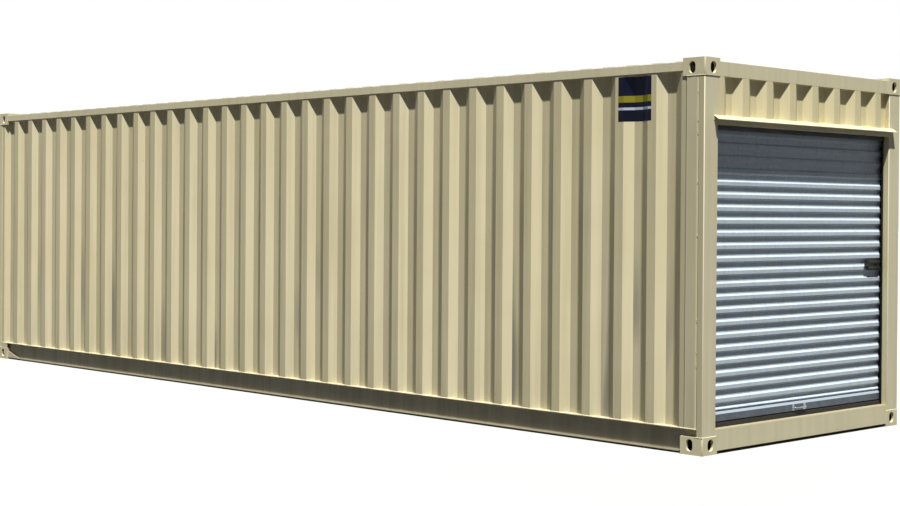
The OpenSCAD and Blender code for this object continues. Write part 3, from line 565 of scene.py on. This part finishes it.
# Rivets along the bottom bar, screws in the latch plate and the pull's feet
heads = head_tree()
bar_low, bar_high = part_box("bottom_bar")
plate_low, plate_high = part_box("latch_plate")
pull_low, pull_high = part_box("pull_handle")
RIVET_PITCH, RIVET_UP = 240 * MM, 34 * MM


def corners(low, high, across, up, face):
    """Places of a plate's four screws, across and up in from its edges, on the plane at face."""
    return [(face, y, z) for y in (low.y + across, high.y - across) for z in (low.z + up, high.z - up)]


# The pull takes the place of the middle rivet
bar_rivets = [(bar_high.x, RIVET_PITCH * i, bar_low.z + RIVET_UP) for i in range(-4, 5) if i]
grow("bar_rivets", heads, bar_rivets, [], {"Head radius": 5 * MM, "Finish": bar_with_painted_light}, "bar_metal")
grow("latch_screws", heads, corners(plate_low, plate_high, 45 * MM, 12 * MM, plate_low.x + 4 * MM), [],
     {"Head radius": 5 * MM, "Finish": powder_black}, "latch_black")
grow("pull_screws", heads, corners(pull_low, pull_high, 13 * MM, 9 * MM, pull_low.x + 3 * MM), [],
     {"Head radius": 4.5 * MM, "Finish": zinc}, "pull_metal")


# Sign film pressed on to the left wall, so that it follows the presses

def film(name, stations, low, high, off, finish):
    """Strip of thin film; stations are the points of the wall's outer face that it lies on, off is its
    thickness."""
    front = [(x, y - off) for x, y in stations]
    mesh = bmesh.new()
    rows = [[mesh.verts.new((x, y, z)) for x, y in line] for line in (stations, front) for z in (low, high)]
    count = len(stations) - 1
    for a, b in ((0, 1), (2, 3), (0, 2), (1, 3)):
        for i in range(count):
            mesh.faces.new((rows[a][i], rows[a][i + 1], rows[b][i + 1], rows[b][i]))
    for i in (0, count):
        mesh.faces.new((rows[0][i], rows[1][i], rows[3][i], rows[2][i]))
    bmesh.ops.recalc_face_normals(mesh, faces=mesh.faces)
    data = bpy.data.meshes.new(name)
    mesh.to_mesh(data)
    mesh.free()
    data.materials.append(finish)
    piece = bpy.data.objects.new(name, data)
    scene.collection.objects.link(piece)
    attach(piece, "container")


# The sign's ends, counted from the wall's door end, and its edges' heights
SIGN_FROM, SIGN_TO, SIGN_LOW, SIGN_HIGH = 0.294, 0.575, 2.194, 2.495
bends = [(SIGN_FROM, 0)]
for i in range(1, 3):
    u = FIRST + i * PITCH
    bends += [(u, 0), (u + SLOPE, DEPTH), (u + SLOPE + INNER, DEPTH), (u + 2 * SLOPE + INNER, 0)]
bends = [bend for bend in bends if SIGN_FROM <= bend[0] < SIGN_TO] + [(SIGN_TO, 0)]
film("sign_film", [(wall_high.x - u, wall_low.y + deep) for u, deep in bends],
     SIGN_LOW, SIGN_HIGH, 0.6 * MM, navy_film)


# Floor, light and camera

FLOOR_HALF = 150


def looking(tree):
    """1 for rays that look, mirror or pass through, 0 for rays that only carry light."""
    ray = put(tree, "ShaderNodeLightPath")
    seen = put(tree, "ShaderNodeMath",
               {0: ray.outputs["Is Camera Ray"], 1: ray.outputs["Is Glossy Ray"]}, operation="MAXIMUM")
    return put(tree, "ShaderNodeMath", {0: seen, 1: ray.outputs["Is Transmission Ray"]},
               operation="MAXIMUM")


def stage_floor():
    """Pale floor that keeps the shadow; the light that it throws back on to the container is that of plain
    ground."""
    data = bpy.data.meshes.new("floor")
    rim = [(-1, -1), (1, -1), (1, 1), (-1, 1)]
    data.from_pydata([(x * FLOOR_HALF, y * FLOOR_HALF, 0) for x, y in rim], [], [(0, 1, 2, 3)])
    material, tree, place = start("pale_floor")
    pale = put(tree, "ShaderNodeBsdfDiffuse", {"Color": paint("#BDBDBB")})
    ground = put(tree, "ShaderNodeBsdfDiffuse", {"Color": paint("#3E3E40")})
    both = put(tree, "ShaderNodeMixShader", {0: looking(tree), 1: ground, 2: pale})
    put(tree, "ShaderNodeOutputMaterial", {"Surface": both})
    data.materials.append(material)
    floor = bpy.data.objects.new("floor", data)
    scene.collection.objects.link(floor)


def sky():
    """Even soft light from all round; rays that look or mirror meet white."""
    world = bpy.data.worlds.new("soft_sky")
    world.use_nodes = True
    tree = world.node_tree
    tree.nodes.clear()
    soft = put(tree, "ShaderNodeBackground", {"Color": paint("#CBDAF2"), "Strength": 0.1})
    white = put(tree, "ShaderNodeBackground", {"Color": (1, 1, 1, 1), "Strength": 1.0})
    both = put(tree, "ShaderNodeMixShader", {0: looking(tree), 1: soft, 2: white})
    put(tree, "ShaderNodeOutputWorld", {"Surface": both})
    scene.world = world


def lamp(name, towards, strength, spread):
    """Far lamp; towards points from the container to it, spread is its size in degrees."""
    light = bpy.data.lights.new(name, "SUN")
    light.energy = strength
    light.angle = math.radians(spread)
    holder = bpy.data.objects.new(name, light)
    holder.rotation_euler = Vector(towards).to_track_quat("Z", "Y").to_euler()
    scene.collection.objects.link(holder)


stage_floor()
sky()
lamp("key_lamp", (0.33, -0.281, 1.0), 6.45, 1.5)
lamp("back_fill", (-0.6, 0.7, 0.5), 2.4, 40.0)

# Camera fitted to the photo: its size, focal length and optical centre in pixels, place, and turn in degrees
IMAGE_W, IMAGE_H = 900, 506
FOCAL_PX, CENTRE_X_PX, CENTRE_Y_PX = 1601.2, 396.27, 227.28
CAMERA_AT = (10.783, -9.728, 1.560)
CAMERA_YAW, CAMERA_PITCH, CAMERA_ROLL = 137.048, -0.485, 0.382
SENSOR_MM = 36
camera_data = bpy.data.cameras.new("camera")
camera_data.sensor_width = SENSOR_MM
camera_data.lens = FOCAL_PX * SENSOR_MM / IMAGE_W
camera_data.shift_x = (IMAGE_W / 2 - CENTRE_X_PX) / IMAGE_W
camera_data.shift_y = (CENTRE_Y_PX - IMAGE_H / 2) / IMAGE_W
camera_data.clip_end = 1000
yaw, pitch, roll = (math.radians(angle) for angle in (CAMERA_YAW, CAMERA_PITCH, CAMERA_ROLL))
ahead = Vector((math.cos(yaw) * math.cos(pitch), math.sin(yaw) * math.cos(pitch), math.sin(pitch)))
level = Vector((math.sin(yaw), -math.cos(yaw), 0))
above = level.cross(ahead)
right = math.cos(roll) * level + math.sin(roll) * above
up = math.cos(roll) * above - math.sin(roll) * level
camera = bpy.data.objects.new("camera", camera_data)
facing = Matrix((right, up, -ahead)).transposed().to_4x4()
camera.matrix_world = Matrix.Translation(CAMERA_AT) @ facing
scene.collection.objects.link(camera)
scene.camera = camera
scene.view_settings.view_transform = "Standard"
